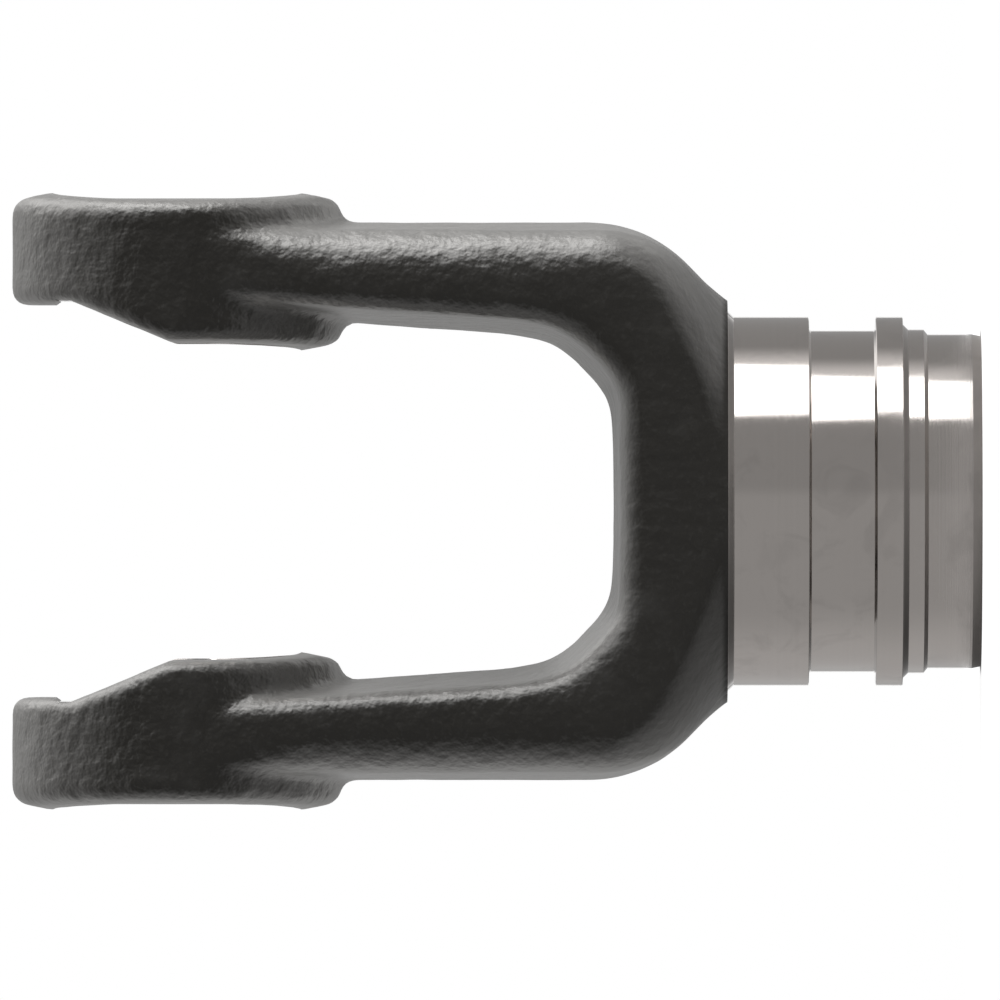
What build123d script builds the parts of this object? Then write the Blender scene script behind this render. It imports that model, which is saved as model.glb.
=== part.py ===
from build123d import *

import os
from math import cos, hypot, radians, sin, tan

# A forged steel fork of a driveline joint with a turned butt that a tube is welded on.
# Origin: the centre of the joint, where the cross-bore axis meets the driveline axis.
# X runs along the cross bore, Z along the driveline towards the open end of the fork.
# The parting plane of the forging is the XZ plane, so every forged wall leans away from it.

# Eyes
EYE_R = 39.7
EYE_OUTER = 74.4
EYE_INNER = 36.3
SPOT_OUTER = 72.8
SPOT_INNER = 38.0
SPOT_R = 29.9
EYE_EDGE_R = 4.4
EYE_INNER_EDGE_R = 3.6
FACE_DRAFT = 3.4
RIM_SLOPE = 11.5

# Bearing bore with its snap ring groove and mouth chamfers
BORE_R = 23.8125
RING_LAND = 3.3
RING_GROOVE_W = 2.1
RING_GROOVE_DEPTH = 1.3
BORE_CHAMFER = 0.8

# Clearance on the inner side of the tips, where the cross swings in
RELIEF_START_Z = 0.6
RELIEF_ANGLE = 22.5
RELIEF_FLAT_DEPTH = 1.0
RELIEF_FLAT_LEN = 2.9
TIP_INNER = 47.2

# Arms
ARM_OUTER = 67.25
ARM_CORNER_R = 11.6
ARM_CORNER_START_R = 1.6
ARM_CORNER_START_Z = -7.5
ARM_CORNER_FULL_Z = -33.5
ARM_STEP_IN = 1.0
ARM_DRAFT = 3.4

# Gap between the arms
GAP_HALF = 42.9
GAP_HALF_Z = -41.7
GAP_SIDE_ANGLE = 4.0
GAP_BOTTOM_Z = -105.15
GAP_BOTTOM_CROWN = 0.6
GAP_CORNER_RUN = 11.8
GAP_CORNER_ANGLE = 51.0
GAP_CORNER_R = 16.2
GAP_DRAFT = 5.0
GAP_EDGE_R = 5.2

# Root of the fork, where it closes down to the round shoulder
ROOT_ARC_R = 32.4
ROOT_ANGLE = 45.3
ROOT_THROAT_OUT = 3.05
ROOT_THROAT_RISE = 4.55
SHOULDER_R = 49.0
SHOULDER_HALF_DEPTH = 48.2
SHOULDER_FLAT = 3.6
SHOULDER_Z = -132.6
ROOT_FILLING = 2.4
ROOT_STEPS = 5
SHOULDER_BREAK = 0.9

# Turned butt
SHOULDER_FACE_IN = 0.3
SHOULDER_SINK = 4.0
LAND_R = 44.45
LAND_LEN = 19.6
NECK_CONE = 1.5
GROOVE_R = 41.15
GROOVE_LEN = 16.1
GROOVE_CONE = 0.6
WELD_RING_LEN = 6.5
SEAT_R = 41.45
SEAT_LEN = 5.0
SEAT_CONE = 1.6
PILOT_R = 40.25
PILOT_LEN = 13.85
PILOT_LEAD_LEN = 2.2
PILOT_LEAD = 0.45
EDGE_BREAK = 0.35

# Hollow of the butt
HOLLOW_R = 27.0
HOLLOW_DEPTH = 46.0
HOLLOW_DRAFT = 5.0
HOLLOW_CORNER = 6.0
HOLLOW_CHAMFER = 1.5

# Blend where the inner side of an arm runs into its eye
BLEND_R = 3.0

# How far the cutting shapes reach, past the metal and altogether
SPARE = 10.0
BIG = 120.0
FRONT_CLEAR = 0.05

ARM_HALF_DEPTH = EYE_R - ARM_STEP_IN
RELIEF_FLAT = TIP_INNER + RELIEF_FLAT_DEPTH

# The throat is where the slope of the root ends; its upper end is rounded into the arm
THROAT_R = SHOULDER_R + ROOT_THROAT_OUT
THROAT_Z = SHOULDER_Z + ROOT_THROAT_RISE
SLOPE_LEN = (ARM_OUTER - THROAT_R) / sin(radians(ROOT_ANGLE))
ROOT_TANGENT = min(ROOT_ARC_R * tan(radians(ROOT_ANGLE) / 2), SLOPE_LEN - 1)
ROOT_R = ROOT_TANGENT / tan(radians(ROOT_ANGLE) / 2)
ROOT_Z = THROAT_Z + SLOPE_LEN * cos(radians(ROOT_ANGLE)) + ROOT_TANGENT

# The corners of the shoulder leave SHOULDER_FLAT each side of the middle of its narrower sides
SHOULDER_CORNER_R = min(SHOULDER_R, SHOULDER_HALF_DEPTH) - SHOULDER_FLAT

# The round face that is turned on the shoulder stays inside its broken edge
SHOULDER_FLAT_R = min(SHOULDER_R, SHOULDER_HALF_DEPTH) - SHOULDER_BREAK - SHOULDER_FACE_IN

GROOVE_Z = SHOULDER_Z - LAND_LEN
WELD_RING_Z = GROOVE_Z - GROOVE_LEN
SEAT_Z = WELD_RING_Z - WELD_RING_LEN
PILOT_Z = SEAT_Z - SEAT_LEN
END_Z = PILOT_Z - PILOT_LEN


def slope_depth(z):
    """Half the depth of the fork at height z: straight from the eye to the shoulder."""
    share = z / SHOULDER_Z
    return ARM_HALF_DEPTH + (SHOULDER_HALF_DEPTH - ARM_HALF_DEPTH) * share


def half_section(z, half_width, corner_r, draft, inset=0):
    """The front half of the fork's outline at height z, as a face, drawn in by inset."""
    depth = slope_depth(z) - inset
    half_width -= inset
    lean = depth * tan(radians(draft))
    outline = Polyline(
        (half_width, 0),
        (half_width - lean, -depth),
        (-half_width + lean, -depth),
        (-half_width, 0),
        close=True,
    )
    face = make_face(Plane.XY * outline)
    corners = face.vertices().filter_by(lambda v: v.Y < -depth / 2)
    return Pos(0, 0, z) * fillet(corners, corner_r - inset)


def root_stations():
    """Height, half width, corner radius and draft down the curved root of the fork."""
    places = []
    for i in range(ROOT_STEPS + 1):
        turn = radians(ROOT_ANGLE * i / ROOT_STEPS)
        places.append((ROOT_Z - ROOT_R * sin(turn), ARM_OUTER - ROOT_R * (1 - cos(turn))))
    end_z = SHOULDER_Z + SHOULDER_BREAK
    places += [(THROAT_Z, THROAT_R), (end_z, SHOULDER_R)]
    rows = []
    for z, x in places:
        share = (ROOT_Z - z) / (ROOT_Z - end_z)
        corner = ARM_CORNER_R + (SHOULDER_CORNER_R - ARM_CORNER_R) * share**ROOT_FILLING
        rows.append((z, x, corner, ARM_DRAFT * (1 - share)))
    return rows


def fork_outside():
    """The front half of the fork without its gap: straight arms, curved root, broken shoulder edge."""
    arm_rows = [
        (0, ARM_OUTER, ARM_CORNER_START_R, ARM_DRAFT),
        (ARM_CORNER_START_Z, ARM_OUTER, ARM_CORNER_START_R, ARM_DRAFT),
        (ARM_CORNER_FULL_Z, ARM_OUTER, ARM_CORNER_R, ARM_DRAFT),
        (ROOT_Z, ARM_OUTER, ARM_CORNER_R, ARM_DRAFT),
    ]
    arms = loft([half_section(*row) for row in arm_rows], ruled=True)
    root = loft([half_section(*row) for row in root_stations()], ruled=False)
    shoulder_end = half_section(SHOULDER_Z, SHOULDER_R, SHOULDER_CORNER_R, 0, SHOULDER_BREAK)
    shoulder = loft([half_section(*root_stations()[-1]), shoulder_end], ruled=True)
    return arms + root + shoulder


def gap_face():
    """The gap between the arms in the parting plane, open past the tips."""
    side_slope = tan(radians(GAP_SIDE_ANGLE))
    corner_slope = tan(radians(GAP_CORNER_ANGLE))
    top_z = EYE_R + SPARE
    top_x = GAP_HALF + (top_z - GAP_HALF_Z) * side_slope
    low_z = GAP_BOTTOM_Z + GAP_BOTTOM_CROWN
    # the sloping corner starts on the bottom, GAP_CORNER_RUN short of the side, and ends on the side
    corner_x = GAP_HALF + (low_z - GAP_HALF_Z) * side_slope - GAP_CORNER_RUN
    side_z = low_z + GAP_CORNER_RUN / (corner_slope - side_slope)
    side_x = GAP_HALF + (side_z - GAP_HALF_Z) * side_slope
    bottom = ThreePointArc((-corner_x, low_z), (0, GAP_BOTTOM_Z), (corner_x, low_z))
    rest = Polyline(
        (corner_x, low_z),
        (side_x, side_z),
        (top_x, top_z),
        (-top_x, top_z),
        (-side_x, side_z),
        (-corner_x, low_z),
    )
    face = make_face([bottom, *rest.edges()])
    corners = face.vertices().filter_by(lambda v: v.Y < EYE_R)
    return fillet(corners, GAP_CORNER_R)


def front_slab():
    """The space in front of the fork's sloping front face, standing off by a hair."""
    top_z = EYE_R
    low_z = END_Z
    outline = Polyline(
        (-slope_depth(top_z) - FRONT_CLEAR, top_z),
        (-slope_depth(low_z) - FRONT_CLEAR, low_z),
        (-BIG, low_z),
        (-BIG, top_z),
        close=True,
    )
    return extrude(make_face(Plane.YZ * outline), amount=BIG, both=True)


def gap_cutter():
    """The space of the gap: it widens from the parting plane and flares over a rounded rim."""
    reach = SHOULDER_HALF_DEPTH + SPARE
    mid = gap_face()
    front = offset(mid, amount=reach * tan(radians(GAP_DRAFT)), kind=Kind.INTERSECTION)
    gap = loft([Plane.XZ * mid, Plane.XZ.offset(reach) * front], ruled=True)
    space = gap + front_slab()
    rim = space.edges().filter_by(on_gap_rim)
    return fillet(rim, GAP_EDGE_R)


def on_gap_rim(edge):
    """True for the edges where the gap breaks through the front face."""
    middle = edge.position_at(0.5)
    end = edge.position_at(0)
    return all(abs(p.Y + slope_depth(p.Z) + FRONT_CLEAR) < 0.01 and abs(p.X) < BIG / 2 for p in (middle, end))


def eye_half():
    """The front half of one eye: a short cylinder along X with drafted faces and rounded rims."""
    reach = EYE_R + SPARE
    lean = reach * tan(radians(FACE_DRAFT))
    outline = Polyline(
        (EYE_INNER, 0),
        (EYE_OUTER, 0),
        (EYE_OUTER - lean, -reach),
        (EYE_INNER + lean, -reach),
        close=True,
    )
    slab = extrude(make_face(Plane.XY * outline), amount=reach, both=True)
    disc = Rot(0, 90, 0) * Cylinder(EYE_R, 4 * EYE_R)
    eye = slab & disc - tip_relief()
    eye -= rim_wedge(EYE_OUTER, SPARE, SPOT_R) + rim_wedge(EYE_OUTER, SPARE, -SPOT_R)
    eye -= rim_wedge(EYE_INNER, -SPARE, -SPOT_R)
    eye = fillet(eye_rims(eye, outer=True), EYE_EDGE_R)
    return fillet(eye_rims(eye, outer=False), EYE_INNER_EDGE_R)


def rim_wedge(x, away, z):
    """What a side of an eye at x lacks beyond height z, where its rim slopes back from the spot face."""
    far = z + (2 * SPARE if z > 0 else -2 * SPARE)
    back = x - 2 * SPARE * tan(radians(RIM_SLOPE)) * (1 if away > 0 else -1)
    outline = Polyline((x, z), (x + away, z), (x + away, far), (back, far), close=True)
    return extrude(make_face(Plane.XZ * outline), amount=BIG, both=True)


def eye_rims(eye, outer):
    """The edges that bound the round wall of an eye half, on its outer or its inner side."""
    middle_x = (TIP_INNER + EYE_OUTER) / 2

    def on_rim(edge):
        middle = edge.position_at(0.5)
        on_wall = abs(hypot(middle.Y, middle.Z) - EYE_R) < 0.01 and middle.Y < -0.01
        return on_wall and (middle.X > middle_x) == outer

    return eye.edges().filter_by(on_rim)


def relief_z(x):
    """The height at which the slope of the tip relief reaches x."""
    return RELIEF_START_Z + (x - SPOT_INNER) / tan(radians(RELIEF_ANGLE))


def tip_relief():
    """The forged clearance on the inner side of a tip, so that the cross can swing into its bores."""
    low_x = EYE_INNER - SPARE
    high_z = EYE_R + SPARE
    outline = Polyline(
        (low_x, relief_z(low_x)),
        (TIP_INNER, relief_z(TIP_INNER)),
        (TIP_INNER, high_z),
        (low_x, high_z),
        close=True,
    )
    return extrude(make_face(Plane.XZ * outline), amount=BIG, both=True)


def relief_flat():
    """The shallow flat milled across the tip, where the slope of its relief ends."""
    flat_z = relief_z(RELIEF_FLAT)
    flat_end_z = flat_z + RELIEF_FLAT_LEN
    step = RELIEF_FLAT - TIP_INNER
    outline = Polyline(
        (TIP_INNER - step, relief_z(TIP_INNER - step)),
        (RELIEF_FLAT, flat_z),
        (RELIEF_FLAT, flat_end_z),
        (TIP_INNER - step, flat_end_z + 2 * step),
        close=True,
    )
    return extrude(make_face(Plane.XZ * outline), amount=BIG, both=True)


def eye_machining():
    """What is turned and bored out of one eye: both spot faces, the bore and its snap ring groove."""
    beyond = 2 * SPARE
    section = Polyline(
        (SPOT_INNER - beyond, 0),
        (SPOT_INNER - beyond, SPOT_R),
        (SPOT_INNER, SPOT_R),
        (SPOT_INNER, BORE_R + BORE_CHAMFER),
        (SPOT_INNER + BORE_CHAMFER, BORE_R),
        (SPOT_OUTER - RING_LAND - RING_GROOVE_W, BORE_R),
        (SPOT_OUTER - RING_LAND - RING_GROOVE_W, BORE_R + RING_GROOVE_DEPTH),
        (SPOT_OUTER - RING_LAND, BORE_R + RING_GROOVE_DEPTH),
        (SPOT_OUTER - RING_LAND, BORE_R),
        (SPOT_OUTER - BORE_CHAMFER, BORE_R),
        (SPOT_OUTER, BORE_R + BORE_CHAMFER),
        (SPOT_OUTER, SPOT_R),
        (SPOT_OUTER + beyond, SPOT_R),
        (SPOT_OUTER + beyond, 0),
        close=True,
    )
    return revolve(make_face(Plane.XY * section), Axis.X)


def butt():
    """The turned butt: land, groove, weld ring, seat and pilot, as one revolved outline."""
    sharp = Polyline(
        (0, SHOULDER_Z + SHOULDER_SINK),
        (SHOULDER_FLAT_R, SHOULDER_Z + SHOULDER_SINK),
        (SHOULDER_FLAT_R, SHOULDER_Z),
        (LAND_R, SHOULDER_Z),
        (LAND_R, GROOVE_Z),
        (GROOVE_R, GROOVE_Z),
        (GROOVE_R, WELD_RING_Z),
        (LAND_R, WELD_RING_Z),
        (LAND_R, SEAT_Z),
        (SEAT_R, SEAT_Z),
        (SEAT_R, PILOT_Z),
        (PILOT_R, PILOT_Z - (SEAT_R - PILOT_R)),
        (PILOT_R, END_Z + PILOT_LEAD_LEN),
        (PILOT_R - PILOT_LEAD, END_Z),
        (0, END_Z),
        close=True,
    )
    face = make_face(Plane.XY * sharp)
    face = chamfer(corners_at(face, [(LAND_R, SHOULDER_Z)]), NECK_CONE)
    face = chamfer(corners_at(face, [(SEAT_R, SEAT_Z)]), SEAT_CONE)
    face = chamfer(corners_at(face, [(GROOVE_R, GROOVE_Z), (GROOVE_R, WELD_RING_Z)]), GROOVE_CONE)
    breaks = [(LAND_R, GROOVE_Z), (LAND_R, WELD_RING_Z), (LAND_R, SEAT_Z)]
    face = chamfer(corners_at(face, breaks), EDGE_BREAK)
    return revolve(Rot(90, 0, 0) * face, Axis.Z)


def corners_at(face, places):
    """The corners of a flat outline that lie at the given places."""
    return face.vertices().filter_by(lambda v: any(hypot(v.X - x, v.Y - y) < 0.01 for x, y in places))


def hollow():
    """The forged hollow in the end of the butt, with a turned chamfer at its mouth."""
    lean = HOLLOW_DEPTH * tan(radians(HOLLOW_DRAFT))
    top_z = END_Z + HOLLOW_DEPTH
    outline = Polyline(
        (0, END_Z - HOLLOW_CHAMFER),
        (HOLLOW_R + 2 * HOLLOW_CHAMFER, END_Z - HOLLOW_CHAMFER),
        (HOLLOW_R, END_Z + HOLLOW_CHAMFER),
        (HOLLOW_R - lean, top_z),
        (0, top_z),
        close=True,
    )
    face = make_face(Plane.XY * outline)
    face = chamfer(corners_at(face, [(HOLLOW_R - lean, top_z)]), HOLLOW_CORNER)
    return revolve(Rot(90, 0, 0) * face, Axis.Z)


def front_blank():
    """The front half of the forging above its butt, with the inner blends of both arms."""
    eye = eye_half()
    half = fork_outside() - gap_cutter() + eye + mirror(eye, about=Plane.YZ)
    return fillet(half.edges().filter_by(on_inner_joint), BLEND_R)


def on_inner_joint(edge):
    """True for the edges in which the round wall of an eye meets the gap side of its arm."""
    points = [edge.position_at(share) for share in (0.2, 0.5, 0.8)]
    on_wall = all(abs(hypot(p.Y, p.Z) - EYE_R) < 0.02 for p in points)
    return on_wall and points[1].Y < -0.01 and points[1].Z < 0 and abs(points[1].X) < TIP_INNER + BLEND_R


half = front_blank()
blank = half + mirror(half, about=Plane.XZ)
machining = eye_machining() + relief_flat()
yoke = blank + butt() - hollow() - machining - mirror(machining, about=Plane.YZ)

os.makedirs("parts", exist_ok=True)
export_step(yoke, "parts/forged_yoke.step")
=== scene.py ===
import bmesh
import bpy
from math import cos, hypot, pi, radians, tan
from mathutils import Matrix, Vector, noise


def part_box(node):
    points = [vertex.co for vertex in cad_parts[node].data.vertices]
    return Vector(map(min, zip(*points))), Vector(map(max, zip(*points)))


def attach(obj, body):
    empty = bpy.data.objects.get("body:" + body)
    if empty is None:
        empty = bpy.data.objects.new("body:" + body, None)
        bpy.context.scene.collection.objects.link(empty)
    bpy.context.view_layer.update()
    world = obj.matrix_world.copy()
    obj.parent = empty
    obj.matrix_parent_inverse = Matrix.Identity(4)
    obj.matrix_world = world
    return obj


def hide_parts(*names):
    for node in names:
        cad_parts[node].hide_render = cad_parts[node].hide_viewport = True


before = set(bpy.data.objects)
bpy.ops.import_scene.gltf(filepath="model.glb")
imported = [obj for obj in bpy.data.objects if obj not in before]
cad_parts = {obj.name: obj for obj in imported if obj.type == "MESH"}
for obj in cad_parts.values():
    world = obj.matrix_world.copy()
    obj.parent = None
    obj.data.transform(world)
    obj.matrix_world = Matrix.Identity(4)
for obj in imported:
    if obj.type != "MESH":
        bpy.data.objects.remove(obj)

bl_info = {
    "name": "Forged yoke",
    "version": (1, 0, 0),
    "blender": (4, 5, 0),
    "location": "View3D > Sidebar > Yoke",
    "description": "Dresses a forged weld yoke: its forging skin, turned butt, bored eyes and stage",
    "category": "Object",
}

MM = 0.001
# from the middle of the fork past its sides and its tips
REACH = 100 * MM
NODE = "forged_yoke"
LOW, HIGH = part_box(NODE)
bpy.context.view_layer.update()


# Sizes and colours


class ForgingSizes(bpy.types.PropertyGroup):
    """The rough forging under the machining."""

    skin_step: bpy.props.FloatProperty(
        name="Skin step", description="Size of a face on the forging's skin",
        default=1.3 * MM, min=0.5 * MM, subtype="DISTANCE", unit="LENGTH")
    shoulder_z: bpy.props.FloatProperty(
        name="Shoulder", description="Height of the machined face under the fork",
        default=-132.6 * MM, subtype="DISTANCE", unit="LENGTH")
    eye_outer: bpy.props.FloatProperty(
        name="Eye outer ridge", description="Distance of the forged outer ridge from the middle",
        default=74.4 * MM, subtype="DISTANCE", unit="LENGTH")
    eye_inner: bpy.props.FloatProperty(
        name="Eye inner ridge", description="Distance of the forged inner ridge from the middle",
        default=36.3 * MM, subtype="DISTANCE", unit="LENGTH")
    tip_inner: bpy.props.FloatProperty(
        name="Tip inner side", description="Distance of the relieved tips from the middle",
        default=47.2 * MM, subtype="DISTANCE", unit="LENGTH")
    arm_outer: bpy.props.FloatProperty(
        name="Arm outer side", description="Distance of the arms' outer sides from the middle",
        default=67.25 * MM, subtype="DISTANCE", unit="LENGTH")
    draft: bpy.props.FloatProperty(
        name="Draft", description="Lean of the forged walls away from the parting plane",
        default=radians(3.4), subtype="ANGLE", unit="ROTATION")
    rim_y: bpy.props.FloatProperty(
        name="Gap rim depth", description="Distance of the rim of the gap's floor from the parting plane",
        default=46.6 * MM, subtype="DISTANCE", unit="LENGTH")
    rim_z: bpy.props.FloatProperty(
        name="Gap rim height", description="Height of the rim of the gap's floor",
        default=-109.4 * MM, subtype="DISTANCE", unit="LENGTH")
    corner_fill: bpy.props.FloatProperty(
        name="Corner fill", description="How far the corners of the gap's floor stand into the gap",
        default=2.1 * MM, subtype="DISTANCE", unit="LENGTH")
    dent_depth: bpy.props.FloatProperty(
        name="Dent depth", description="Depth of the shallow unevenness of the skin",
        default=0.16 * MM, subtype="DISTANCE", unit="LENGTH")
    dent_size: bpy.props.FloatProperty(
        name="Dent size", description="Width of the shallow unevenness of the skin",
        default=13 * MM, subtype="DISTANCE", unit="LENGTH")


class MachiningSizes(bpy.types.PropertyGroup):
    """What is turned, bored and milled."""

    segments: bpy.props.IntProperty(
        name="Segments", description="Faces round a turned or bored wall", default=224, min=24)
    spot_outer: bpy.props.FloatProperty(
        name="Outer spot face", description="Distance of the outer spot faces from the middle",
        default=72.8 * MM, subtype="DISTANCE", unit="LENGTH")
    spot_inner: bpy.props.FloatProperty(
        name="Inner spot face", description="Distance of the inner spot faces from the middle",
        default=38.0 * MM, subtype="DISTANCE", unit="LENGTH")
    spot_r: bpy.props.FloatProperty(
        name="Spot face radius", description="Radius of the spot faces",
        default=29.9 * MM, subtype="DISTANCE", unit="LENGTH")
    bore_r: bpy.props.FloatProperty(
        name="Bore radius", description="Radius of the bearing bores",
        default=23.8125 * MM, subtype="DISTANCE", unit="LENGTH")
    ring_r: bpy.props.FloatProperty(
        name="Ring groove radius", description="Radius of the snap ring grooves",
        default=25.1125 * MM, subtype="DISTANCE", unit="LENGTH")
    ring_land: bpy.props.FloatProperty(
        name="Ring land", description="From the outer spot face to the snap ring groove",
        default=3.3 * MM, subtype="DISTANCE", unit="LENGTH")
    ring_width: bpy.props.FloatProperty(
        name="Ring groove width", description="Width of the snap ring grooves",
        default=2.1 * MM, subtype="DISTANCE", unit="LENGTH")
    mouth: bpy.props.FloatProperty(
        name="Bore chamfer", description="Chamfer at the mouths of the bores",
        default=0.8 * MM, subtype="DISTANCE", unit="LENGTH")
    relief_z: bpy.props.FloatProperty(
        name="Relief height", description="Height at which the relief of the tips starts",
        default=0.6 * MM, subtype="DISTANCE", unit="LENGTH")
    relief_angle: bpy.props.FloatProperty(
        name="Relief angle", description="Slope of the relief of the tips",
        default=radians(22.5), subtype="ANGLE", unit="ROTATION")
    flat_depth: bpy.props.FloatProperty(
        name="Flat depth", description="Depth of the flat milled across the tips",
        default=1.0 * MM, subtype="DISTANCE", unit="LENGTH")
    flat_height: bpy.props.FloatProperty(
        name="Flat height", description="Height of the flat milled across the tips",
        default=2.9 * MM, subtype="DISTANCE", unit="LENGTH")
    land_r: bpy.props.FloatProperty(
        name="Land radius", description="Radius of the land and the weld ring",
        default=44.45 * MM, subtype="DISTANCE", unit="LENGTH")
    neck: bpy.props.FloatProperty(
        name="Neck corner", description="Size of the sloping corner between the shoulder and the land",
        default=1.5 * MM, subtype="DISTANCE", unit="LENGTH")
    groove_r: bpy.props.FloatProperty(
        name="Groove radius", description="Radius of the groove of the butt",
        default=41.15 * MM, subtype="DISTANCE", unit="LENGTH")
    seat_r: bpy.props.FloatProperty(
        name="Seat radius", description="Radius of the tube seat",
        default=41.45 * MM, subtype="DISTANCE", unit="LENGTH")
    pilot_r: bpy.props.FloatProperty(
        name="Pilot radius", description="Radius of the pilot",
        default=40.25 * MM, subtype="DISTANCE", unit="LENGTH")
    groove_z: bpy.props.FloatProperty(
        name="Groove top", description="Height of the upper end of the groove",
        default=-152.2 * MM, subtype="DISTANCE", unit="LENGTH")
    ring_top_z: bpy.props.FloatProperty(
        name="Weld ring top", description="Height of the upper side of the weld ring",
        default=-168.3 * MM, subtype="DISTANCE", unit="LENGTH")
    seat_z: bpy.props.FloatProperty(
        name="Seat top", description="Height of the lower side of the weld ring",
        default=-174.8 * MM, subtype="DISTANCE", unit="LENGTH")
    pilot_z: bpy.props.FloatProperty(
        name="Pilot top", description="Height at which the seat steps down to the pilot",
        default=-179.8 * MM, subtype="DISTANCE", unit="LENGTH")
    hollow_r: bpy.props.FloatProperty(
        name="Hollow radius", description="Radius of the hollow at the end of the butt",
        default=27.0 * MM, subtype="DISTANCE", unit="LENGTH")
    hollow_depth: bpy.props.FloatProperty(
        name="Hollow depth", description="Depth of the hollow in the butt",
        default=46.0 * MM, subtype="DISTANCE", unit="LENGTH")
    hollow_mouth: bpy.props.FloatProperty(
        name="Hollow mouth", description="Chamfer at the mouth of the hollow",
        default=1.5 * MM, subtype="DISTANCE", unit="LENGTH")


class FinishLook(bpy.types.PropertyGroup):
    """Colours and grain of the finishes."""

    scale_colour: bpy.props.FloatVectorProperty(
        name="Forging scale", description="Colour of the black scale",
        default=(0.0095, 0.0078, 0.005), size=3, min=0, max=1, subtype="COLOR")
    worn_colour: bpy.props.FloatVectorProperty(
        name="Rubbed scale", description="Colour where the scale is thin or rubbed",
        default=(0.036, 0.034, 0.031), size=3, min=0, max=1, subtype="COLOR")
    sheen_colour: bpy.props.FloatVectorProperty(
        name="Scale sheen", description="Colour of the sheen that the scale has at a low angle",
        default=(0.60, 0.59, 0.575), size=3, min=0, max=1, subtype="COLOR")
    steel_colour: bpy.props.FloatVectorProperty(
        name="Turned steel", description="Colour of the bright steel",
        default=(0.55, 0.513, 0.487), size=3, min=0, max=1, subtype="COLOR")
    # painted shade: the near-black colour laid into the butt's corners
    corner_shade_colour: bpy.props.FloatVectorProperty(
        name="Corner shade", description="Colour of the shade painted into the corners of the butt",
        default=(0.03, 0.028, 0.026), size=3, min=0, max=1, subtype="COLOR")
    corner_shade_share: bpy.props.FloatProperty(
        name="Oil share", description="How much of the steel's colour the painted corner shade covers",
        default=0.38, min=0, max=1)
    grain: bpy.props.FloatProperty(
        name="Scale grain", description="Width of the pits in the forging's skin",
        default=1.35 * MM, subtype="DISTANCE", unit="LENGTH")
    relief: bpy.props.FloatProperty(
        name="Scale relief", description="Depth of the pits and lumps in the forging's skin",
        default=0.58 * MM, subtype="DISTANCE", unit="LENGTH")


class StageSizes(bpy.types.PropertyGroup):
    """Camera, floor and lights."""

    lens: bpy.props.FloatProperty(
        name="Lens", description="Focal length in millimetres", default=1400, min=1)
    view_width: bpy.props.FloatProperty(
        name="View width", description="Width of the picture at the yoke",
        default=241 * MM, subtype="DISTANCE", unit="LENGTH")
    floor_r: bpy.props.FloatProperty(
        name="Floor radius", description="Radius of the pale floor",
        default=0.32, subtype="DISTANCE", unit="LENGTH")
    key_level: bpy.props.FloatProperty(
        name="Key level", description="Brightness of the softbox, where 1 is white",
        default=3.7, min=0)
    side_level: bpy.props.FloatProperty(
        name="Side level", description="How much brighter the studio is on the side away from the softbox",
        default=0.135, min=0)
    room_level: bpy.props.FloatProperty(
        name="Room level", description="Brightness of the studio round the yoke, where 1 is white",
        default=0.36, min=0)


# Shader trees


class Wire:
    """An output of a shader node; Python's operators on it add Math nodes."""

    def __init__(self, finish, socket):
        self.finish = finish
        self.socket = socket

    def math(self, operation, *others, swapped=False):
        values = [self, *others]
        if swapped:
            values.reverse()
        return self.finish.node("ShaderNodeMath", {"operation": operation}, dict(enumerate(values)))

    def __add__(self, other):
        return self.math("ADD", other)

    def __radd__(self, other):
        return self.math("ADD", other, swapped=True)

    def __sub__(self, other):
        return self.math("SUBTRACT", other)

    def __rsub__(self, other):
        return self.math("SUBTRACT", other, swapped=True)

    def __mul__(self, other):
        return self.math("MULTIPLY", other)

    def __rmul__(self, other):
        return self.math("MULTIPLY", other, swapped=True)

    def __neg__(self):
        return self.math("MULTIPLY", -1.0)

    def __abs__(self):
        return self.math("ABSOLUTE")

    def root(self):
        return self.math("SQRT")

    def ramp(self, low, high, kind="SMOOTHSTEP"):
        """0 below low, 1 above high and smooth, or straight as LINEAR, between."""
        return self.finish.node(
            "ShaderNodeMapRange",
            {"interpolation_type": kind, "clamp": True},
            {"Value": self, "From Min": low, "From Max": high, "To Min": 0.0, "To Max": 1.0},
            "Result",
        )


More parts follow.
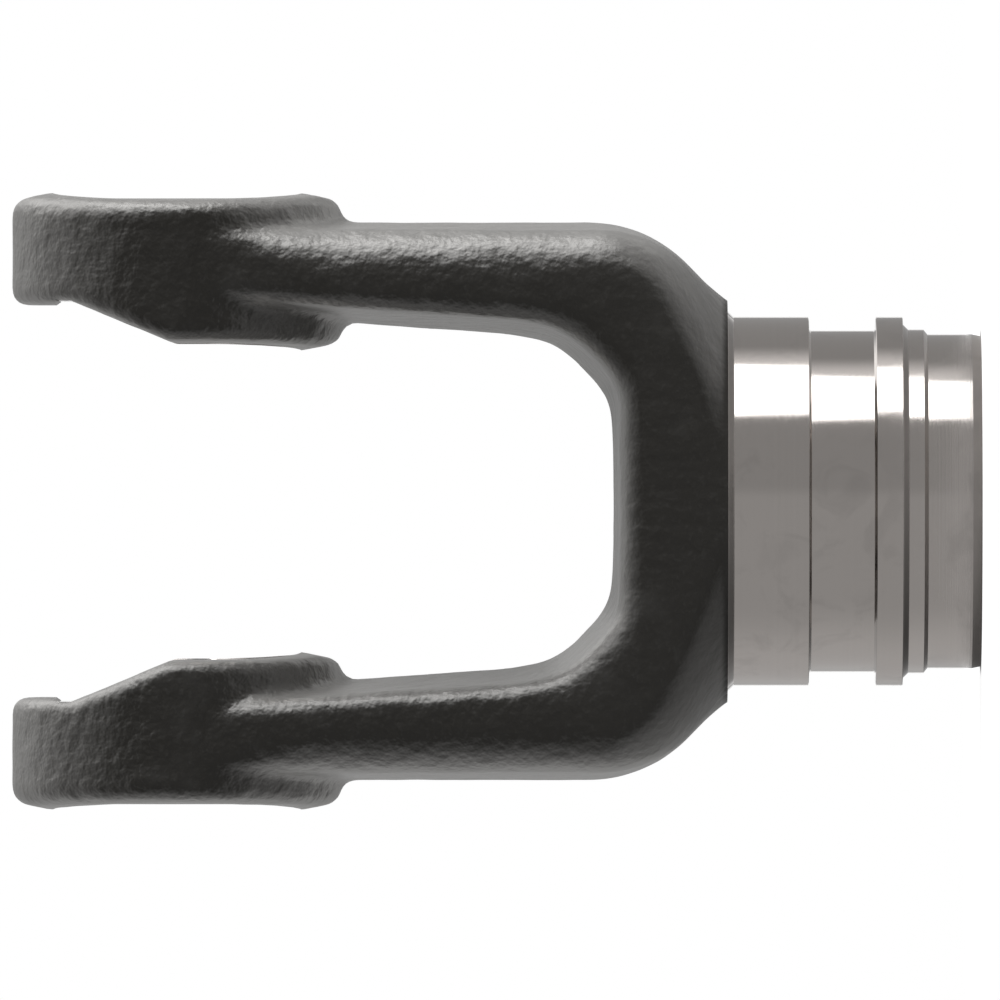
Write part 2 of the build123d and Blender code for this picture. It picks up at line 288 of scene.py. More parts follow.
class Finish:
    """A node tree in the making, of a material or of the world."""

    def __init__(self, tree):
        self.tree = tree
        tree.nodes.clear()

    def node(self, kind, settings=None, values=None, outlet=0):
        """Adds a node: its settings first, then a value or a link for each named or numbered socket."""
        made = self.tree.nodes.new(kind)
        for name, setting in (settings or {}).items():
            setattr(made, name, setting)
        for name, value in (values or {}).items():
            if isinstance(value, Wire):
                self.tree.links.new(value.socket, made.inputs[name])
            else:
                made.inputs[name].default_value = value
        return Wire(self, made.outputs[outlet]) if len(made.outputs) else None

    def place(self):
        """Object coordinates as a vector and as three numbers."""
        spot = self.node("ShaderNodeTexCoord", outlet="Object")
        parts = self.node("ShaderNodeSeparateXYZ", None, {"Vector": spot})
        return spot, *(Wire(self, parts.socket.node.outputs[axis]) for axis in "XYZ")

    def seen(self, *kinds):
        """1 for rays of the given kinds, 0 for others."""
        paths = self.node("ShaderNodeLightPath", outlet=kinds[0]).socket.node.outputs
        found = Wire(self, paths[kinds[0]])
        for kind in kinds[1:]:
            found = found.math("MAXIMUM", Wire(self, paths[kind]))
        return found

    def noise(self, spot, size, detail=2.0, roughness=0.5, distortion=0.0):
        """Cloudy noise whose lumps are about size wide, from 0 to 1."""
        return self.node(
            "ShaderNodeTexNoise",
            {"noise_dimensions": "3D", "normalize": True},
            {"Vector": spot, "Scale": 1.0 / size, "Detail": detail, "Roughness": roughness,
             "Distortion": distortion},
        )

    def lines(self, along, size, detail=2.0):
        """Noise that changes along one number only, as a turning tool leaves it."""
        return self.node(
            "ShaderNodeTexNoise",
            {"noise_dimensions": "1D", "normalize": True},
            {"W": along, "Scale": 1.0 / size, "Detail": detail, "Roughness": 0.6},
        )

    def mix(self, share, first, second):
        """A colour between two colours."""
        first, second = (c if isinstance(c, Wire) else (*c, 1.0) for c in (first, second))
        # a Mix node has its two colours on sockets 6 and 7, and their mixture on outlet 2
        return self.node("ShaderNodeMix", {"data_type": "RGBA"}, {0: share, 6: first, 7: second}, 2)

    def bump(self, height, distance):
        """Bends the normal by a height from 0 to 1 that stands for distance metres."""
        return self.node("ShaderNodeBump", None, {"Height": height, "Distance": distance, "Strength": 1.0})

    def principled(self, colour, roughness, normal, metallic):
        values = {"Base Color": colour, "Roughness": roughness, "Normal": normal, "Metallic": metallic}
        return self.node("ShaderNodeBsdfPrincipled", None, values)


def new_material(name):
    material = bpy.data.materials.new(name)
    material.use_nodes = True
    return material, Finish(material.node_tree)


def forging_material(look, shoulder_z):
    """Black forging scale: pitted, mottled, rubbed on its ridges, with a soft sheen at a low angle."""
    material, tree = new_material("black_forging_scale")
    spot, _, y, z = tree.place()
    grain = look.grain
    pits = tree.noise(spot, grain, detail=1.0)
    coarse = tree.noise(spot, 2.4 * grain, detail=1.5, roughness=0.5)
    lumps = tree.noise(spot, 5.0 * grain, detail=1.0)
    cloud = tree.noise(spot, 16 * MM, detail=3.0, roughness=0.6)
    flakes = tree.noise(spot, 5.5 * MM, detail=3.0, roughness=0.65, distortion=0.8)
    # the trimmed band along the parting plane
    band = 1.0 - abs(y).ramp(0.7 * MM, 1.5 * MM)
    rubbed = cloud.ramp(0.52, 0.78) * 0.45 + flakes.ramp(0.60, 0.74) * 0.35 + pits.ramp(0.55, 0.8) * 0.30
    share = (rubbed + band * 0.5).math("MINIMUM", 1.0)
    colour = tree.mix(share, look.scale_colour, look.worn_colour)
    rough = 0.40 + 0.10 * cloud - 0.08 * flakes.ramp(0.60, 0.74)
    # the eyes and arms are the coarsest, the root the smoothest
    coarseness = 0.45 + 0.55 * z.ramp(-125 * MM, -70 * MM)
    height = (pits * 0.34 + coarse * 0.70 + lumps * 0.95) * coarseness
    # the metal's flow shows as faint streaks along the root
    drawn = tree.node("ShaderNodeVectorMath", {"operation": "MULTIPLY"}, {0: spot, 1: (1.0, 1.0, 0.3)})
    streaks = tree.noise(drawn, 3.2 * grain, detail=1.0)
    height = height + 0.5 * streaks * (1.0 - z.ramp(-118 * MM, -90 * MM))
    relief = tree.bump(height, look.relief)
    skin = tree.principled(colour, rough, relief, 0.0)
    sheen = tree.principled((*look.sheen_colour, 1), 0.42, relief, 0.72)
    low_angle = tree.node("ShaderNodeLayerWeight", None, {"Blend": 0.5, "Normal": relief}, "Facing")
    # the sheen is faint on the root and gone at the machined shoulder's edge
    above_edge = z.ramp(shoulder_z + 0.2 * MM, shoulder_z + 1.8 * MM)
    strength = (0.31 + 0.28 * z.ramp(-130 * MM, -108 * MM)) * above_edge
    share = low_angle.ramp(0.04, 0.62, "LINEAR") * strength
    both = tree.node("ShaderNodeMixShader", None, {0: share, 1: skin, 2: sheen})
    tree.node("ShaderNodeOutputMaterial", None, {"Surface": both})
    return material


def turned_material(look, name, axis, corners=()):
    """Bright turned or bored steel, with tool lines round the axis and faint smudges.

    Each of the corners, given as a height along the axis and a width, gets a band of painted shade.
    """
    material, tree = new_material(name)
    spot, x, y, z = tree.place()
    if axis == "Z":
        along, across = z, (x * x + y * y).root()
    else:
        along, across = x, (y * y + z * z).root()
    travel = along + across
    fine = tree.lines(travel, 0.16 * MM, detail=1.0)
    coarse = tree.lines(travel, 0.9 * MM, detail=2.0)
    broad = tree.lines(travel, 6.0 * MM, detail=1.0)
    smudge = tree.noise(spot, 14 * MM, detail=3.0, roughness=0.6, distortion=1.2)
    haze = tree.noise(spot, 38 * MM, detail=2.0)
    dull = smudge.ramp(0.50, 0.72) * 0.5 + haze * 0.25 + (coarse - 0.5) * 0.18
    dark = tuple(0.82 * c for c in look.steel_colour)
    colour = tree.mix(dull, look.steel_colour, dark)
    for height, width in corners:
        # painted shade: a band at each corner darkens the steel
        shade_band = 1.0 - abs(along - height).ramp(0.4 * width, width)
        colour = tree.mix(shade_band * look.corner_shade_share, colour, look.corner_shade_colour)
    rough = 0.06 + 0.06 * smudge.ramp(0.50, 0.75) + 0.03 * coarse + 0.02 * broad
    relief = tree.bump(fine * 0.5 + coarse * 0.5, 0.003 * MM)
    steel = tree.principled(colour, rough, relief, 1.0)
    tree.node("ShaderNodeOutputMaterial", None, {"Surface": steel})
    return material


# Meshes


def link_object(name, data):
    thing = bpy.data.objects.new(name, data)
    bpy.context.scene.collection.objects.link(thing)
    return thing


def baked(thing):
    """Makes the evaluated shape the object's own plain mesh."""
    graph = bpy.context.evaluated_depsgraph_get()
    graph.update()
    mesh = bpy.data.meshes.new_from_object(thing.evaluated_get(graph))
    thing.modifiers.clear()
    thing.data = mesh
    return thing


def combine(thing, tool, operation):
    """Joins, cuts or crosses a closed mesh with another, which is used up."""
    step = thing.modifiers.new("combine", "BOOLEAN")
    step.object = tool
    step.operation = operation
    step.solver = "MANIFOLD"
    baked(thing)
    bpy.data.objects.remove(tool)


def lathe_tree():
    """Turns an outline, given as edges with radius and minus height, once round the Z axis."""
    name = "Turn outline"
    if name in bpy.data.node_groups:
        return bpy.data.node_groups[name]
    group = bpy.data.node_groups.new(name, "GeometryNodeTree")
    new_socket = group.interface.new_socket
    new_socket("Outline", in_out="INPUT", socket_type="NodeSocketGeometry")
    new_socket("Segments", in_out="INPUT", socket_type="NodeSocketInt")
    new_socket("Finish", in_out="INPUT", socket_type="NodeSocketMaterial")
    new_socket("Turned", in_out="OUTPUT", socket_type="NodeSocketGeometry")
    nodes = group.nodes
    entry = nodes.new("NodeGroupInput")
    to_curve = nodes.new("GeometryNodeMeshToCurve")
    # the outline holds its own radii, so its path is a circle of next to nothing
    circle = nodes.new("GeometryNodeCurvePrimitiveCircle")
    circle.inputs["Radius"].default_value = 0.001 * MM
    sweep = nodes.new("GeometryNodeCurveToMesh")
    close = nodes.new("GeometryNodeMergeByDistance")
    close.inputs["Distance"].default_value = 0.005 * MM
    real = nodes.new("GeometryNodeRealizeInstances")
    finish = nodes.new("GeometryNodeSetMaterial")
    leave = nodes.new("NodeGroupOutput")
    link = group.links.new
    link(entry.outputs["Outline"], to_curve.inputs["Mesh"])
    link(entry.outputs["Segments"], circle.inputs["Resolution"])
    link(circle.outputs["Curve"], sweep.inputs["Curve"])
    link(to_curve.outputs["Curve"], sweep.inputs["Profile Curve"])
    link(sweep.outputs["Mesh"], close.inputs["Geometry"])
    link(close.outputs["Geometry"], real.inputs["Geometry"])
    link(real.outputs["Geometry"], finish.inputs["Geometry"])
    link(entry.outputs["Finish"], finish.inputs["Material"])
    link(finish.outputs["Geometry"], leave.inputs["Turned"])
    return group


def socket_key(group, name):
    return next(i.identifier for i in group.interface.items_tree if i.name == name and i.in_out == "INPUT")


def turned(name, outline, segments, material):
    """A closed body turned from (radius, height) points that start and end on the Z axis."""
    mesh = bpy.data.meshes.new(name)
    mesh.from_pydata([(r, -h, 0) for r, h in outline], [(i, i + 1) for i in range(len(outline) - 1)], [])
    thing = link_object(name, mesh)
    group = lathe_tree()
    step = thing.modifiers.new("turn", "NODES")
    step.node_group = group
    step[socket_key(group, "Segments")] = segments
    step[socket_key(group, "Finish")] = material
    return outward(baked(thing))


def outward(thing):
    """Makes the faces of a closed mesh point outwards."""
    work = bmesh.new()
    work.from_mesh(thing.data)
    bmesh.ops.recalc_face_normals(work, faces=work.faces)
    if work.calc_volume(signed=True) < 0:
        bmesh.ops.reverse_faces(work, faces=work.faces)
    work.to_mesh(thing.data)
    work.free()
    return thing


def block(name, low, high):
    """A plain cutting block between two corners."""
    work = bmesh.new()
    bmesh.ops.create_cube(work, size=1.0)
    for v in work.verts:
        v.co = Vector([(a + b) / 2 + c * (b - a) for a, b, c in zip(low, high, v.co)])
    mesh = bpy.data.meshes.new(name)
    work.to_mesh(mesh)
    work.free()
    return link_object(name, mesh)


def keep_above(thing, height):
    """Cuts off what lies under a height."""
    combine(thing, block("above", (-REACH, -REACH, height), (REACH, REACH, REACH)), "INTERSECT")


def prism(name, outline):
    """A long bar along Y with an outline of (x, z) corners."""
    work = bmesh.new()
    near = [work.verts.new((x, -REACH, z)) for x, z in outline]
    far = [work.verts.new((x, REACH, z)) for x, z in outline]
    work.faces.new(near)
    work.faces.new(far)
    for i in range(len(outline)):
        j = (i + 1) % len(outline)
        work.faces.new((near[i], near[j], far[j], far[i]))
    mesh = bpy.data.meshes.new(name)
    work.to_mesh(mesh)
    work.free()
    return outward(link_object(name, mesh))


def eye_filler(forging, machining, side):
    """What the machining took from an eye: a disc between its drafted outer and inner sides."""
    lean = tan(forging.draft)
    slope = tan(machining.relief_angle)
    # a little wider than the spot face, and a hair under the forged sides
    radius = machining.spot_r + 0.35 * MM
    sunk = 0.01 * MM
    steps = 52

    def outer_x(y):
        return forging.eye_outer - abs(y) * lean - sunk

    def inner_x(y, z):
        relief = machining.spot_inner + (z - machining.relief_z) * slope
        return max(forging.eye_inner + abs(y) * lean, min(relief, forging.tip_inner)) + sunk

    work = bmesh.new()
    bmesh.ops.create_grid(work, x_segments=steps, y_segments=steps, size=1.0)
    outer = {}
    for v in work.verts:
        # a square grid drawn in to a disc
        u, w = v.co.x, v.co.y
        y = radius * u * (1 - w * w / 2) ** 0.5
        z = radius * w * (1 - u * u / 2) ** 0.5
        outer[v] = (y, z)
    front = list(work.faces)
    copy = bmesh.ops.duplicate(work, geom=list(work.verts) + list(work.edges) + front)
    partner = {a: b for a, b in copy["vert_map"].items() if a in outer}
    for v, (y, z) in outer.items():
        v.co = Vector((side * outer_x(y), y, z))
        partner[v].co = Vector((side * inner_x(y, z), y, z))
    rim = [e for e in work.edges if e.is_boundary and e.verts[0] in outer and e.verts[1] in outer]
    for e in rim:
        a, b = e.verts
        work.faces.new((a, b, partner[b], partner[a]))
    mesh = bpy.data.meshes.new("eye_filler")
    work.to_mesh(mesh)
    work.free()
    return outward(link_object("eye_filler", mesh))


def rough_forging(forging, machining):
    """The forging before machining, with a fine even skin."""
    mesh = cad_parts[NODE].data.copy()
    work = bmesh.new()
    work.from_mesh(mesh)
    bmesh.ops.remove_doubles(work, verts=work.verts, dist=0.001 * MM)
    work.to_mesh(mesh)
    work.free()
    mesh.materials.clear()
    thing = link_object("yoke_forging", mesh)
    # cut above the broken edge of the solid's shoulder and carried on past it, for a crisp edge later
    start = forging.shoulder_z + 1.3 * MM
    keep_above(thing, start)
    lengthen(thing, start)
    for side in (-1, 1):
        combine(thing, eye_filler(forging, machining, side), "UNION")
    step = thing.modifiers.new("skin", "REMESH")
    step.mode = "VOXEL"
    step.voxel_size = forging.skin_step
    step.adaptivity = 0.0
    baked(thing)
    soften(thing, forging)
    dent(thing, forging)
    return thing


def lengthen(thing, start):
    """Carries the forging on below its cut face, narrowing as its root does."""
    end = start - 4 * MM
    narrow_x = 0.942
    narrow_y = 0.995
    work = bmesh.new()
    work.from_mesh(thing.data)
    ends = [f for f in work.faces if all(abs(v.co.z - start) < 0.01 * MM for v in f.verts)]
    made = bmesh.ops.extrude_face_region(work, geom=ends)
    bmesh.ops.delete(work, geom=ends, context="FACES_ONLY")
    for v in made["geom"]:
        if isinstance(v, bmesh.types.BMVert):
            v.co = Vector((narrow_x * v.co.x, narrow_y * v.co.y, end))
    work.to_mesh(thing.data)
    work.free()
    outward(thing)


def fade(value, none, full):
    """0 at none and 1 at full, straight between them and level past them."""
    return min(1.0, max(0.0, (value - none) / (full - none)))


def dome(distance, radius):
    """1 in the middle, and down to 0 at the radius on a curve."""
    return max(0.0, 1 - (distance / radius) ** 2)


def plateau(distance, radius):
    """1 up to half the radius, and down to 0 at the radius on a straight line."""
    return fade(distance, radius, radius / 2)


def rounding(x, y, z, forging):
    """The share of each smoothing at a place, whose x and y are given without their signs."""
    arm = forging.arm_outer
    eye_r = HIGH.z
    # where the eye meets the outer side of the arm, and that corner's ends at the edges of the arm
    corner = dome(hypot(y, z) - eye_r - 2.4 * MM, 3.8 * MM) * fade(x, arm + 4.5 * MM, arm + 2.5 * MM)
    if x <= arm - 16 * MM or z >= -6 * MM:
        corner = 0.0
    if y > 30 * MM:
        corner = dome(hypot(x - arm + 3 * MM, z + 18 * MM), 11 * MM) or corner
    from_rim = hypot(y - forging.rim_y, z - forging.rim_z) / (15 * MM)
    rim_end = Vector((40 * MM, 45.5 * MM, -101.5 * MM))
    return {
        "floor_rim": plateau(max(from_rim, x / (34 * MM)), 1.0),
        "rim_corner": plateau((Vector((x, y, z)) - rim_end).length, 17 * MM),
        "corner": corner,
        "all_over": 1.0,
    }


def soften(thing, forging):
    """Fills the gap's floor and rounds the forged edges: the floor's rim most, then the eyes' corners."""
    lean = tan(forging.draft)
    fill_x = 35.0 * MM
    fill_z = -97.0 * MM
    fill_r = 20.5 * MM
    passes = {"floor_rim": 100, "rim_corner": 50, "corner": 16, "all_over": 2}
    groups = {name: thing.vertex_groups.new(name=name) for name in passes}
    for v in thing.data.vertices:
        x, y, z = (abs(v.co.x), abs(v.co.y), v.co.z)
        # the gap's floor has hardly any draft in its middle
        if z < forging.rim_z + 12 * MM:
            middle = fade(x, 30 * MM, 18 * MM)
            near = fade(z, forging.rim_z - 22 * MM, forging.rim_z - 4 * MM)
            v.co.z += 0.8 * lean * y * middle * near
        # the corners of the gap's floor are full
        fill = forging.corner_fill * dome(hypot(x - fill_x, z - fill_z), fill_r) ** 2
        inwards = -0.7 if v.co.x > 0 else 0.7
        v.co += fill * Vector((inwards, 0, 0.71))
        for name, weight in rounding(x, y, z, forging).items():
            if weight > 0:
                groups[name].add([v.index], weight, "REPLACE")
    for name, count in passes.items():
        step = thing.modifiers.new(name, "SMOOTH")
        step.vertex_group = name
        step.factor = 0.5
        step.iterations = count
    baked(thing)
    thing.vertex_groups.clear()


def dent(thing, forging):
    """Moves the skin in and out by the shallow unevenness that dies and scale leave."""
    normals = [v.normal.copy() for v in thing.data.vertices]
    for v, normal in zip(thing.data.vertices, normals):
        wide = noise.noise(v.co / forging.dent_size)
        small = noise.noise(v.co / (0.36 * forging.dent_size) + Vector((7, 3, 5)))
        v.co += normal * forging.dent_depth * (0.7 * wide + 0.35 * small - 0.25)


def machine(thing, forging, machining, materials):
    """Bores the eyes, mills the tips, and joins the turned butt with its hollow."""
    m = machining
    boring = boring_outline(m)
    milling = milling_outline(forging, m)
    for side in (-1, 1):
        tool = turned("boring_tool", boring, m.segments, materials["bore"])
        tool.data.transform(Matrix.Rotation(side * radians(90), 4, "Y"))
        combine(thing, tool, "DIFFERENCE")
        combine(thing, prism("mill", [(side * x, z) for x, z in milling]), "DIFFERENCE")
    keep_above(thing, forging.shoulder_z)
    combine(thing, turned("butt", butt_outline(forging, m), m.segments, materials["butt"]), "UNION")
    combine(thing, turned("hollow", hollow_outline(m), m.segments, materials["butt"]), "DIFFERENCE")


def boring_outline(m):
    """All that is cut round the cross bore's axis, as (radius, distance from the middle)."""
    past = 20 * MM
    groove_out = m.spot_outer - m.ring_land
    groove_in = groove_out - m.ring_width
    return [
        (0, m.spot_inner - past),
        (m.spot_r, m.spot_inner - past),
        (m.spot_r, m.spot_inner),
        (m.bore_r + m.mouth, m.spot_inner),
        (m.bore_r, m.spot_inner + m.mouth),
        (m.bore_r, groove_in),
        (m.ring_r, groove_in),
        (m.ring_r, groove_out),
        (m.bore_r, groove_out),
        (m.bore_r, m.spot_outer - m.mouth),
        (m.bore_r + m.mouth, m.spot_outer),
        (m.spot_r, m.spot_outer),
        (m.spot_r, m.spot_outer + past),
        (0, m.spot_outer + past),
    ]


def milling_outline(forging, m):
    """The flat across the tips, as (x, z) corners of the cut in the tip on the side of +X."""
    slope = tan(m.relief_angle)
    flat_x = forging.tip_inner + m.flat_depth
    clear_x = forging.tip_inner - m.flat_depth
    flat_z = m.relief_z + (flat_x - m.spot_inner) / slope
    # just above the relief's slope, which it leaves whole
    clear_z = m.relief_z + (clear_x - m.spot_inner) / slope + 0.05 * MM
    top_z = flat_z + m.flat_height
    return [
        (clear_x, clear_z),
        (flat_x, flat_z),
        (flat_x, top_z),
        (clear_x, top_z + 2 * m.flat_depth),
    ]


def butt_outline(forging, m):
    """The turned butt, as (radius, height) from inside the root down to the end of the pilot."""
    top = forging.shoulder_z
    inside = top + 4 * MM
    end = LOW.z
    edge = 0.16 * MM
    corner = 0.5 * MM
    foot = 1.3 * MM
    step = m.seat_r - m.pilot_r
    lead = 0.45 * MM
    lead_length = 2.2 * MM
    return [
        (0, inside),
        (m.land_r + m.neck, inside),
        (m.land_r + m.neck, top),
        (m.land_r, top - m.neck),
        (m.land_r, m.groove_z + edge),
        (m.land_r - edge, m.groove_z),
        (m.groove_r + corner, m.groove_z),
        (m.groove_r, m.groove_z - corner),
        (m.groove_r, m.ring_top_z + corner),
        (m.groove_r + corner, m.ring_top_z),
        (m.land_r - edge, m.ring_top_z),
        (m.land_r, m.ring_top_z - edge),
        (m.land_r, m.seat_z + edge),
        (m.land_r - edge, m.seat_z),
        (m.seat_r + foot, m.seat_z),
        (m.seat_r, m.seat_z - foot),
        (m.seat_r, m.pilot_z),
        (m.pilot_r, m.pilot_z - 0.8 * step),
        (m.pilot_r, end + lead_length),
        (m.pilot_r - lead, end),
        (0, end),
    ]


def hollow_outline(m):
    """The forged hollow in the butt, as (radius, height), with its inner corner cut in two facets."""
    end = LOW.z
    mouth = m.hollow_mouth
    top = end + m.hollow_depth
    lean = tan(radians(5))
    throat = m.hollow_r - m.hollow_depth * lean
    corner = 6 * MM
    return [
        (0, end - mouth),
        (m.hollow_r + 2 * mouth, end - mouth),
        (m.hollow_r, end + mouth),
        (throat + 0.55 * MM, top - corner),
        (throat - 0.4 * corner, top - corner / 3),
        (throat - corner, top),
        (0, top),
    ]


def share_out(thing, forging, machining, materials):
    """Gives each face its finish by where it lies, and keeps the machined edges crisp."""
    mesh = thing.data
    mesh.materials.clear()
    for name in ("forging", "butt", "bore"):
        mesh.materials.append(materials[name])
    m = machining
    near = 0.03 * MM
    exact = 0.01 * MM
    # the most that a bored wall's normal, and a chamfer's, may turn towards the bore's axis
    wall = 0.2
    chamfer = 0.82
    groove_out = m.spot_outer - m.ring_land
    groove_in = groove_out - m.ring_width
    flats = (m.spot_inner, m.spot_outer, groove_out, groove_in, forging.tip_inner + m.flat_depth)

    def finish_of(face):
        """0 for the forging's skin, 1 for the butt and 2 for what is bored or milled in the eyes."""
        c = face.center
        if c.z < forging.shoulder_z + near:
            in_hollow = hypot(c.x, c.y) < m.hollow_r + 0.2 * MM and c.z > LOW.z + m.hollow_mouth
            return 0 if in_hollow else 1
        points = [mesh.vertices[i].co for i in face.vertices]
        widths = [abs(p.x) for p in points]
        rounds = [hypot(p.y, p.z) for p in points]
        if any(all(abs(w - flat) < 0.4 * exact for w in widths) for flat in flats):
            return 2
        if abs(face.normal.x) < wall and all(abs(r - m.spot_r) < exact for r in rounds):
            return 2
        in_eye = m.spot_inner - near < min(widths) and max(widths) < m.spot_outer + near
        if in_eye and abs(face.normal.x) < chamfer and max(rounds) < m.ring_r + near:
            return 2
        return 0

    for face in mesh.polygons:
        face.material_index = finish_of(face)
        face.use_smooth = True
    # forged edges are crisp from 32 degrees, turned ones from 10
    sharp = mesh.attributes.new("sharp_edge", "BOOLEAN", "EDGE")
    sides = {}
    for face in mesh.polygons:
        for key in face.edge_keys:
            sides.setdefault(key, []).append(face)
    for edge in mesh.edges:
        one, other = sides[edge.key]
        turned_edge = one.material_index and other.material_index
        limit = cos(radians(10 if turned_edge else 32))
        crisp = one.normal.dot(other.normal) < limit or one.material_index != other.material_index
        sharp.data[edge.index].value = crisp


# Operators


class YOKE_OT_make(bpy.types.Operator):
    """Makes the yoke: the forging's skin, then the machining, then the finishes"""

    bl_idname = "yoke.make"
    bl_label = "Make the yoke"

    def execute(self, context):
        scene = context.scene
        forging, machining, look = scene.yoke_forging, scene.yoke_machining, scene.yoke_look
        # the neck under the shoulder and the foot of the weld ring get painted shade
        shade_width = 0.9 * MM
        shaded_corners = (
            (forging.shoulder_z - 0.5 * machining.neck, shade_width),
            (machining.seat_z - 0.65 * MM, shade_width),
        )
        materials = {
            "forging": forging_material(look, forging.shoulder_z),
            "butt": turned_material(look, "turned_steel", "Z", shaded_corners),
            "bore": turned_material(look, "bored_steel", "X"),
        }
        thing = rough_forging(forging, machining)
        machine(thing, forging, machining, materials)
        share_out(thing, forging, machining, materials)
        thing.name = "yoke"
        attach(thing, "root")
        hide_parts(NODE)
        return {"FINISHED"}


class YOKE_OT_stage(bpy.types.Operator):
    """Sets the camera, the floor, the lights and the studio round the yoke"""

    bl_idname = "yoke.stage"
    bl_label = "Set the stage"

    def execute(self, context):
        stage = context.scene.yoke_stage
        add_camera(stage)
        add_floor(stage)
        add_lights(stage)
        set_world(stage)
        context.scene.view_settings.view_transform = "Standard"
        return {"FINISHED"}


def add_camera(stage):
    """Looks along +Y with the open end of the fork on the left of the picture."""
    camera = bpy.data.cameras.new("camera")
    camera.lens = stage.lens
    camera.sensor_width = 36
    distance = stage.view_width * camera.lens / camera.sensor_width
    thing = link_object("camera", camera)
    # what the middle of the picture shows
    middle = Vector((0.31 * MM, 0, -77.84 * MM))
    turn = Matrix(((0, 1, 0), (0, 0, -1), (-1, 0, 0))).to_4x4()
    thing.matrix_world = Matrix.Translation(middle - Vector((0, distance, 0))) @ turn
    camera.clip_start = 0.1
    camera.clip_end = 100
    bpy.context.scene.camera = thing


def add_floor(stage):
    """A pale disc under the yoke, white by its glow except round the yoke's foot, where the glow is left
    off as painted shade.
    """
    # clear of the butt's end face, which would flicker through it
    gap = 0.02 * MM
    work = bmesh.new()
    bmesh.ops.create_circle(work, cap_ends=True, segments=96, radius=stage.floor_r)
    for v in work.verts:
        v.co.z = LOW.z - gap
    mesh = bpy.data.meshes.new("floor")
    work.to_mesh(mesh)
    work.free()
    thing = link_object("floor", mesh)
    material, tree = new_material("pale_floor")
    _, x, y, _ = tree.place()
    off = (x * x + y * y).root()
    # white from just outside the yoke's foot, and in its reflections from further out; inside that the
    # glow is left off, so the floor's middle shows darker as painted shade, round the foot in the picture
    # and in the yoke's reflections
    seen = tree.seen("Is Camera Ray") * off.ramp(40.2 * MM, 42.8 * MM)
    shown = tree.seen("Is Glossy Ray", "Is Transmission Ray") * off.ramp(190 * MM, stage.floor_r)
    paint = tree.node("ShaderNodeBsdfDiffuse", None, {"Color": (0.5, 0.5, 0.5, 1)})
    glow = tree.node("ShaderNodeEmission", None, {"Color": seen * 0.85 + shown * 0.5, "Strength": 1.0})
    both = tree.node("ShaderNodeAddShader", None, {0: paint, 1: glow})
    tree.node("ShaderNodeOutputMaterial", None, {"Surface": both})
    mesh.materials.append(material)


def add_softbox(name, direction, distance, width, length, level, centre):
    """An oval area light that faces the centre, as bright as level, with its length along Z."""
    light = bpy.data.lights.new(name, "AREA")
    light.shape = "ELLIPSE"
    light.size = width
    light.size_y = length
    # an area light of P watts shines with P / (pi * area) watts a steradian and square metre
    light.energy = level * pi * pi / 4 * width * length
    thing = link_object(name, light)
    away = Vector(direction).normalized()
    side = Vector((0, 0, 1)).cross(away).normalized()
    up = away.cross(side)
    turn = Matrix((side, up, away)).transposed().to_4x4()
    thing.matrix_world = Matrix.Translation(Vector(centre) + away * distance) @ turn
    thing.visible_camera = False


def add_lights(stage):
    """One large oval softbox, on the side that is up in the picture."""
    aside = tan(radians(74.2))
    add_softbox(
        "key", (aside, -1, 0), distance=1.4, width=1.56, length=1.16, level=stage.key_level,
        centre=(0, 0, 0.30))


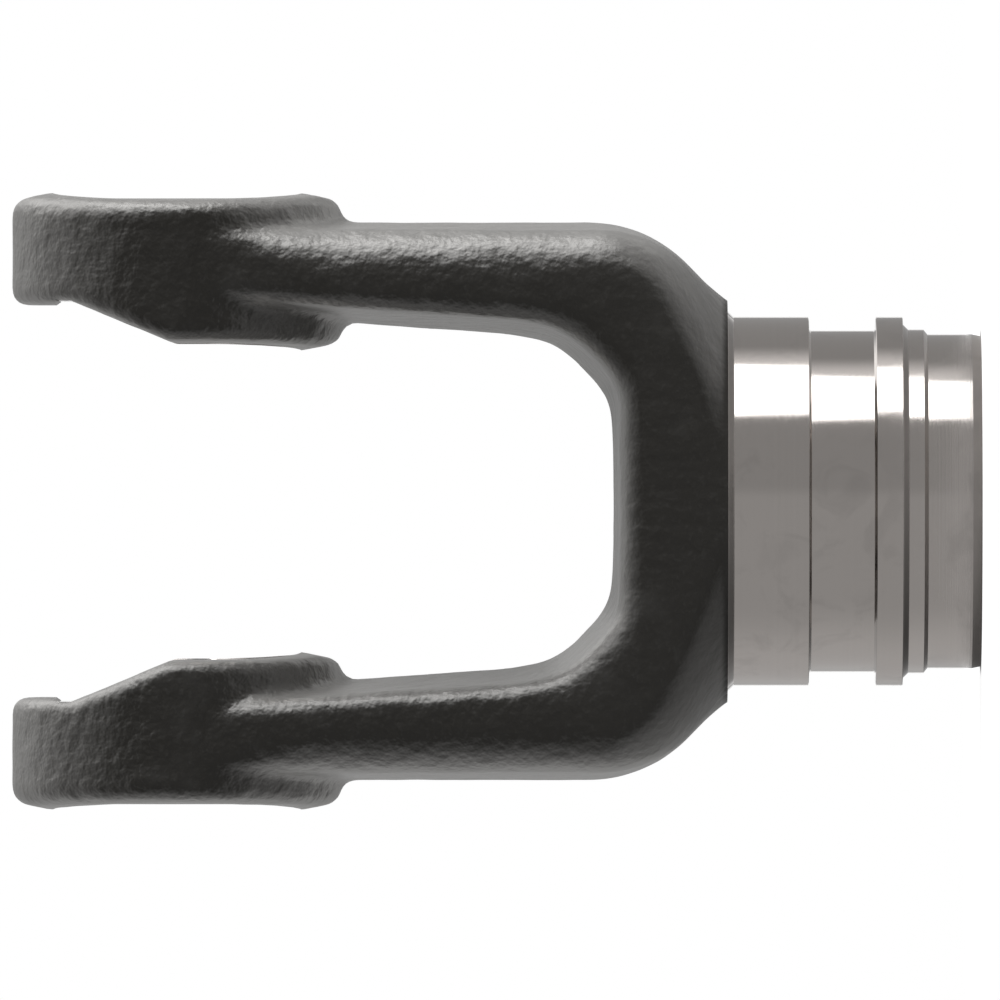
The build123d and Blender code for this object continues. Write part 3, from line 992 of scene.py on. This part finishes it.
def set_world(stage):
    """White to the camera; to the yoke a grey studio with a white backdrop behind it."""
    world = bpy.data.worlds.new("studio")
    bpy.context.scene.world = world
    world.use_nodes = True
    tree = Finish(world.node_tree)
    heading = tree.node("ShaderNodeTexCoord", outlet="Generated")
    parts = tree.node("ShaderNodeSeparateXYZ", None, {"Vector": heading}).socket.node.outputs
    side, depth, height = (Wire(tree, parts[axis]) for axis in "XYZ")
    backdrop = depth.ramp(0.975, 0.985) * tree.seen("Is Glossy Ray", "Is Transmission Ray")
    white = tree.seen("Is Camera Ray").math("MAXIMUM", backdrop)
    # dim on the softbox's side, where only its far edge glows, and brighter away from it
    other = -side
    room = stage.room_level + stage.side_level * (
        0.5 * other.ramp(-0.18, -0.02) + depth.ramp(-0.4, 0.5) * other.ramp(0.1, 0.5))
    # the glow past the softbox's far edge, and a bright patch on its side beyond the fork's open end
    halo = depth.ramp(-0.4, 0.1) * (1.0 - depth.ramp(0.08, 0.42)) * side.ramp(0.5, 0.8)
    crown = side.ramp(0.12, 0.55) * height.ramp(0.08, 0.6)
    # how much dimmer the studio is towards the butt's end, and beyond the fork's open end
    low = (0.5 - 0.28 * other.ramp(0.0, 0.5)) * (-height).ramp(0.06, 0.5)
    high = (0.45 - 0.2 * depth.ramp(0.0, 0.6)) * height.ramp(0.15, 0.7)
    ends = (1.0 - low) * (1.0 - high)
    room = (room + 0.6 * halo) * ends + 1.3 * crown
    level = room + (1.0 - room) * white
    back = tree.node("ShaderNodeBackground", None, {"Color": level, "Strength": 1.0})
    tree.node("ShaderNodeOutputWorld", None, {"Surface": back})


class YOKE_PT_panel(bpy.types.Panel):
    """Lists the sizes and the steps of the yoke"""

    bl_idname = "YOKE_PT_panel"
    bl_label = "Forged yoke"
    bl_space_type = "VIEW_3D"
    bl_region_type = "UI"
    bl_category = "Yoke"

    def draw(self, context):
        scene = context.scene
        for group in (scene.yoke_forging, scene.yoke_machining, scene.yoke_look, scene.yoke_stage):
            box = self.layout.box()
            for name in group.__annotations__:
                box.prop(group, name)
        for step in (YOKE_OT_make, YOKE_OT_stage):
            self.layout.operator(step.bl_idname)


CLASSES = (
    ForgingSizes,
    MachiningSizes,
    FinishLook,
    StageSizes,
    YOKE_OT_make,
    YOKE_OT_stage,
    YOKE_PT_panel,
)


def register():
    for entry in CLASSES:
        bpy.utils.register_class(entry)
    scene = bpy.types.Scene
    scene.yoke_forging = bpy.props.PointerProperty(type=ForgingSizes)
    scene.yoke_machining = bpy.props.PointerProperty(type=MachiningSizes)
    scene.yoke_look = bpy.props.PointerProperty(type=FinishLook)
    scene.yoke_stage = bpy.props.PointerProperty(type=StageSizes)


def unregister():
    for name in ("yoke_forging", "yoke_machining", "yoke_look", "yoke_stage"):
        delattr(bpy.types.Scene, name)
    for entry in reversed(CLASSES):
        bpy.utils.unregister_class(entry)


def main():
    register()
    bpy.ops.yoke.stage()
    bpy.ops.yoke.make()


if __name__ == "__main__":
    main()
